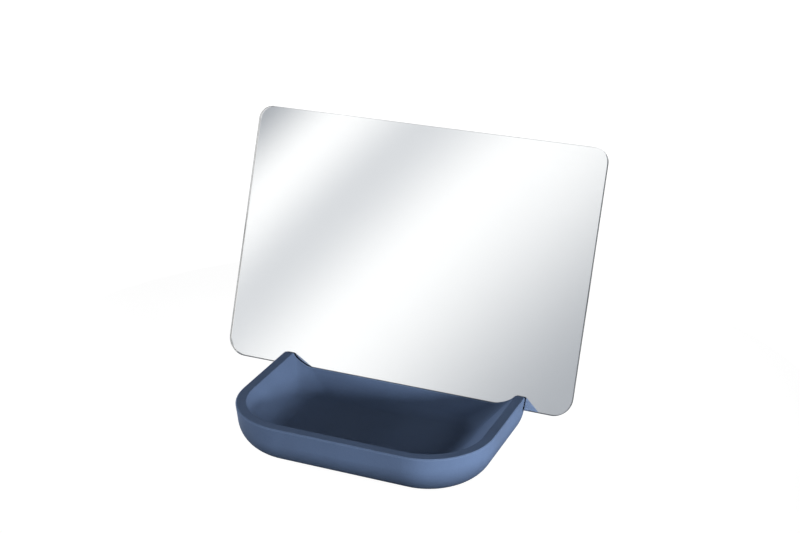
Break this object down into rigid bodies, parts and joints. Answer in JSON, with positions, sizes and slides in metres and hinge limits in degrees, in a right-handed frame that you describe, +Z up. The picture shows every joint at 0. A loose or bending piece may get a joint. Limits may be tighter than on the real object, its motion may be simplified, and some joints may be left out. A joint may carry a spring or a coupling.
{
  "type": "leaning mirror with tray",
  "caption": "Frameless landscape table mirror leaning back in a slot across a low rounded tray with an open bowl in front.",
  "frame": {"origin": "centre of the soft pad's underside, on the surface the tray stands on and below the tray's centre", "axes": "+X to the right along the mirror, +Y to the back, +Z up"},
  "size_m": [0.2, 0.1313, 0.1487],
  "materials": {
    "tray": "fine matt slate blue",
    "cover": "matt, darker slate blue",
    "ballast": "zinc plated",
    "screw": "zinc plated",
    "base_pad": "soft, fine pores",
    "slot_pad": "soft, smooth",
    "glass": "clear float glass, polished arris",
    "silver": "silvered",
    "backing": "grey protective lacquer"
  },
  "bodies": {
    "tray": {"tray_body": "tray", "base_cover": "cover", "ballast_plate": "ballast", "cover_screws": "screw", "base_pad": "base_pad", "slot_floor_pad": "slot_pad", "slot_back_pad": "slot_pad"},
    "mirror": {"mirror_glass": "glass", "mirror_silvering": "silver", "mirror_backing": "backing"}
  },
  "joints": [
    {"name": "mirror_lift", "type": "slide", "parent": "tray", "child": "mirror", "axis": [0, 0.3551, 0.9348], "range_m": [0, 0.04]}
  ]
}
